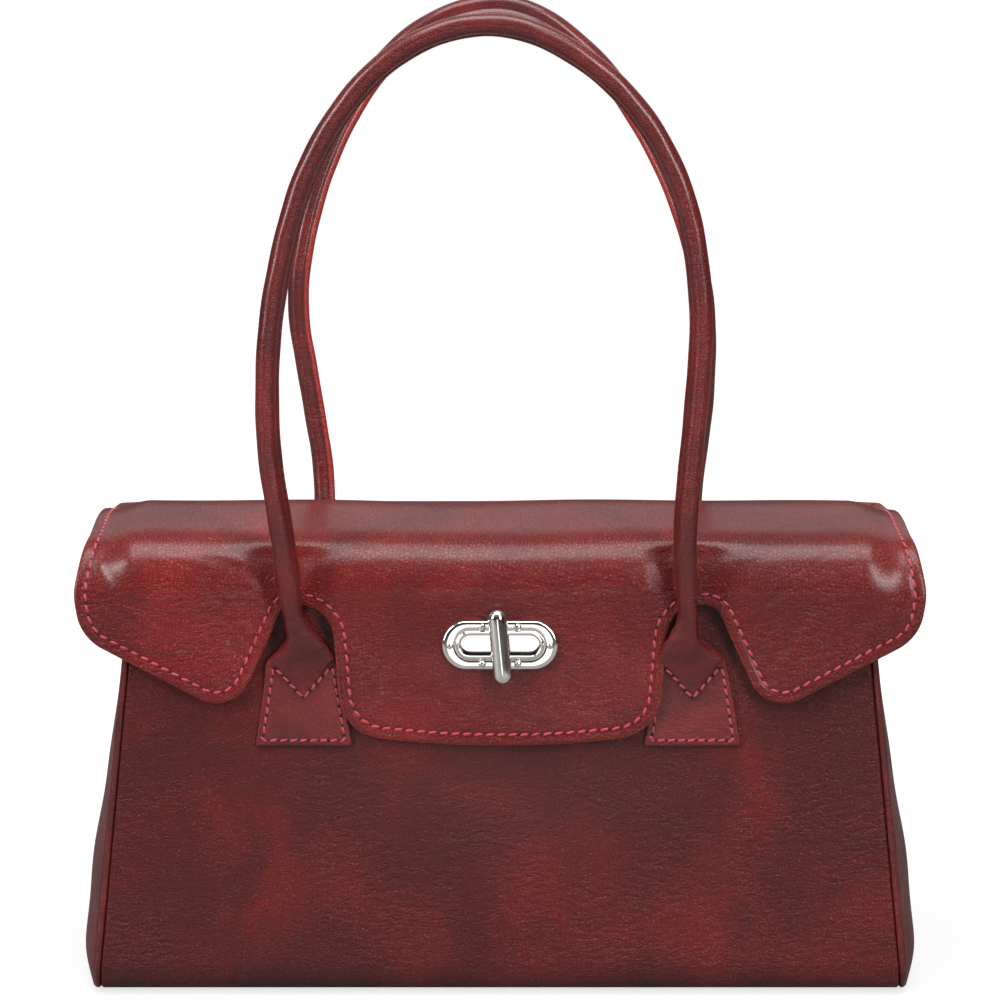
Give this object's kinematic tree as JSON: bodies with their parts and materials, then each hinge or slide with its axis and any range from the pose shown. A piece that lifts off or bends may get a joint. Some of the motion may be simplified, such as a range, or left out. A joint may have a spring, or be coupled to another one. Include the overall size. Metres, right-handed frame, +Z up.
{
  "type": "satchel bag",
  "caption": "Leather satchel handbag with a lobed fold-over flap, turn lock, rolled shoulder handles, piped side gussets and lined interior.",
  "frame": {"origin": "on the surface the bag stands on, under the middle of its base", "axes": "+X to the viewer's right when facing the lock, +Y to the back of the bag, +Z up"},
  "size_m": [0.3616, 0.1374, 0.4164],
  "materials": {
    "burgundy_leather": "vegetable-tanned, hand-coloured, glossy wax coat, mottled",
    "burgundy_piping": "leather-wrapped cord, satin",
    "burgundy_handle_leather": "rolled and stitched, satin gloss",
    "cotton_core": "twisted cotton cord",
    "lining_suede": "thin split leather, matt",
    "lining_cloth": "cotton drill, plain",
    "fibre_board": "pressed fibre board",
    "polished_nickel": "polished nickel plate",
    "plain_steel": "zinc-plated, plain"
  },
  "bodies": {
    "root": {"body_panel": "burgundy_leather", "gusset_left": "burgundy_leather", "gusset_right": "burgundy_leather", "piping_left": "burgundy_piping", "piping_right": "burgundy_piping", "base_board": "fibre_board", "lining": "lining_cloth", "mouth_facing": "burgundy_leather", "flap_back_strip": "burgundy_leather", "tab_front_left": "burgundy_leather", "tab_front_right": "burgundy_leather", "tab_back_left": "burgundy_leather", "tab_back_right": "burgundy_leather", "lock_base_plate": "polished_nickel", "lock_turret": "polished_nickel", "lock_patch": "fibre_board", "lock_washer": "plain_steel"},
    "handle_front": {"handle_front_grip": "burgundy_handle_leather", "handle_front_core": "cotton_core"},
    "handle_back": {"handle_back_grip": "burgundy_handle_leather", "handle_back_core": "cotton_core"},
    "flap": {"flap_leather": "burgundy_leather", "flap_lining": "lining_suede", "lock_ring_plate": "polished_nickel", "lock_back_plate": "polished_nickel", "lock_rivets": "polished_nickel"},
    "knob": {"lock_knob": "polished_nickel", "lock_retainer": "plain_steel"}
  },
  "joints": [
    {"name": "flap_hinge", "type": "hinge", "parent": "root", "child": "flap", "pos_m": [0, 0.046, 0.1932], "axis": [-1, 0, 0], "range_deg": [0, 90]},
    {"name": "knob_turn", "type": "hinge", "parent": "root", "child": "knob", "pos_m": [0, -0.04875, 0.1512], "axis": [0, -0.9972, 0.0742], "range_deg": [-5.5, 84.5]},
    {"name": "handle_front_swing", "type": "hinge", "parent": "root", "child": "handle_front", "pos_m": [0, -0.0575, 0.1568], "axis": [1, 0, 0], "range_deg": [-8, 100]},
    {"name": "handle_back_swing", "type": "hinge", "parent": "root", "child": "handle_back", "pos_m": [0, 0.0575, 0.1568], "axis": [-1, 0, 0], "range_deg": [0, 100]}
  ]
}
